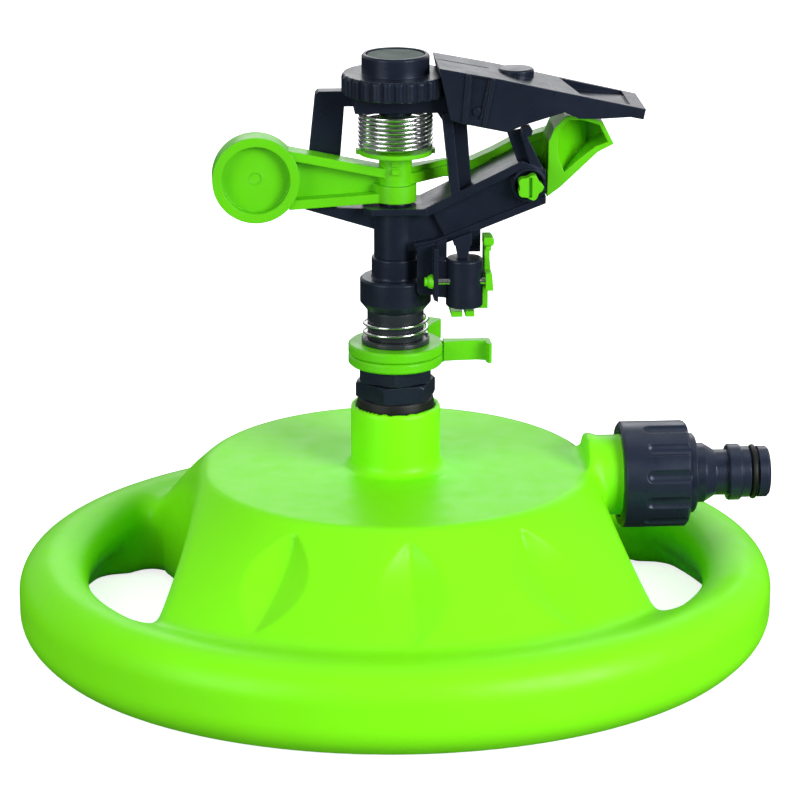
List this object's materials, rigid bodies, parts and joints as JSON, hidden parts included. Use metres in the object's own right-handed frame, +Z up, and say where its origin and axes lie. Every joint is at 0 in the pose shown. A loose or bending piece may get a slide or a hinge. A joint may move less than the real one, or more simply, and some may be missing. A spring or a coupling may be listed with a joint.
{
  "type": "impact sprinkler",
  "caption": "Impact lawn sprinkler with a sprung swinging arm, deflector flap and trip stops on a round hollow base with hand grips and a quick-fit hose nose.",
  "frame": {"origin": "on the swivel axis at the underside of the base", "axes": "+Z up along the swivel axis, +X along the hose inlet, with the barrel also towards +X at rest"},
  "size_m": [0.2358, 0.2144, 0.1837],
  "materials": {
    "green_moulding": "semi-gloss injection moulded, fine texture",
    "green_small": "semi-gloss injection moulded",
    "dark_moulding": "satin dark slate plastic",
    "dark_connector": "satin dark slate plastic, moulded grip",
    "rubber_seal": "soft black rubber",
    "washer_poly": "smooth bearing plastic",
    "spring_steel": "bright drawn stainless wire",
    "pin_steel": "ground stainless"
  },
  "bodies": {
    "base": {"base_vessel": "green_moulding", "inlet_washer": "rubber_seal", "hose_nipple": "dark_connector", "nose_oring": "rubber_seal", "boss_gland": "rubber_seal", "lock_nut": "dark_moulding", "bearing_nut": "dark_moulding", "lower_thrust_washer": "washer_poly", "upper_thrust_washer": "washer_poly"},
    "hose_nut": {"union_nut": "dark_connector"},
    "lower_stop": {"lower_trip_collar": "green_small"},
    "upper_stop": {"upper_trip_collar": "green_small"},
    "head": {"swivel_tube": "dark_moulding", "bearing_sleeve": "dark_moulding", "bearing_spring": "spring_steel", "head_body": "dark_moulding", "nozzle_insert": "washer_poly", "axle_pin": "pin_steel", "flap_pin": "pin_steel", "trip_housing": "dark_moulding", "arm_spring": "spring_steel"},
    "arm": {"impact_arm": "green_small", "lower_arm_bush": "washer_poly", "upper_arm_bush": "washer_poly", "spring_seat": "green_small"},
    "knob": {"tension_knob": "dark_moulding", "knob_cap": "washer_poly"},
    "flap": {"deflector_flap": "dark_moulding"},
    "diffuser_slide_body": {"diffuser_pin": "pin_steel"},
    "diffuser_turn_body": {"diffuser_knob": "green_small"},
    "trip": {"trip_lever": "green_small", "trip_pin": "pin_steel", "trip_button": "green_small"}
  },
  "joints": [
    {"name": "hose_nut_turn", "type": "hinge", "parent": "base", "child": "hose_nut", "pos_m": [0.07942, 0, 0.04911], "axis": [1, 0, 0], "continuous": true},
    {"name": "lower_stop_turn", "type": "hinge", "parent": "base", "child": "lower_stop", "pos_m": [0, 0, 0.08883], "axis": [0, 0, 1], "range_deg": [-110, 20]},
    {"name": "upper_stop_turn", "type": "hinge", "parent": "base", "child": "upper_stop", "pos_m": [0, 0, 0.09196], "axis": [0, 0, 1], "range_deg": [-20, 110]},
    {"name": "head_swivel", "type": "hinge", "parent": "base", "child": "head", "pos_m": [0, 0, 0.09928], "axis": [0, 0, 1], "continuous": true},
    {"name": "arm_swing", "type": "hinge", "parent": "head", "child": "arm", "pos_m": [0, 0, 0.15152], "axis": [0, 0, 1], "range_deg": [0, 90], "stiffness_Nm_per_rad": 0.02, "springref_deg": -17.19},
    {"name": "knob_turn", "type": "hinge", "parent": "head", "child": "knob", "pos_m": [0, 0, 0.17556], "axis": [0, 0, 1], "continuous": true},
    {"name": "flap_tilt", "type": "hinge", "parent": "head", "child": "flap", "pos_m": [0.02351, 0, 0.16814], "axis": [0, 1, 0], "range_deg": [0, 5]},
    {"name": "diffuser_slide", "type": "slide", "parent": "head", "child": "diffuser_slide_body", "axis": [0, 1, 0], "range_m": [0, 0.0029]},
    {"name": "diffuser_turn", "type": "hinge", "parent": "diffuser_slide_body", "child": "diffuser_turn_body", "pos_m": [0.03961, -0.01212, 0.14505], "axis": [0, 1, 0], "range_deg": [0, 540]},
    {"name": "trip_swing", "type": "hinge", "parent": "head", "child": "trip", "pos_m": [0.01881, -0.01264, 0.1162], "axis": [1, 0, 0], "range_deg": [-8, 8]}
  ],
  "couplings": [
    {"joint": "diffuser_turn", "follows": "diffuser_slide", "rad_per_m": 3141.6}
  ]
}
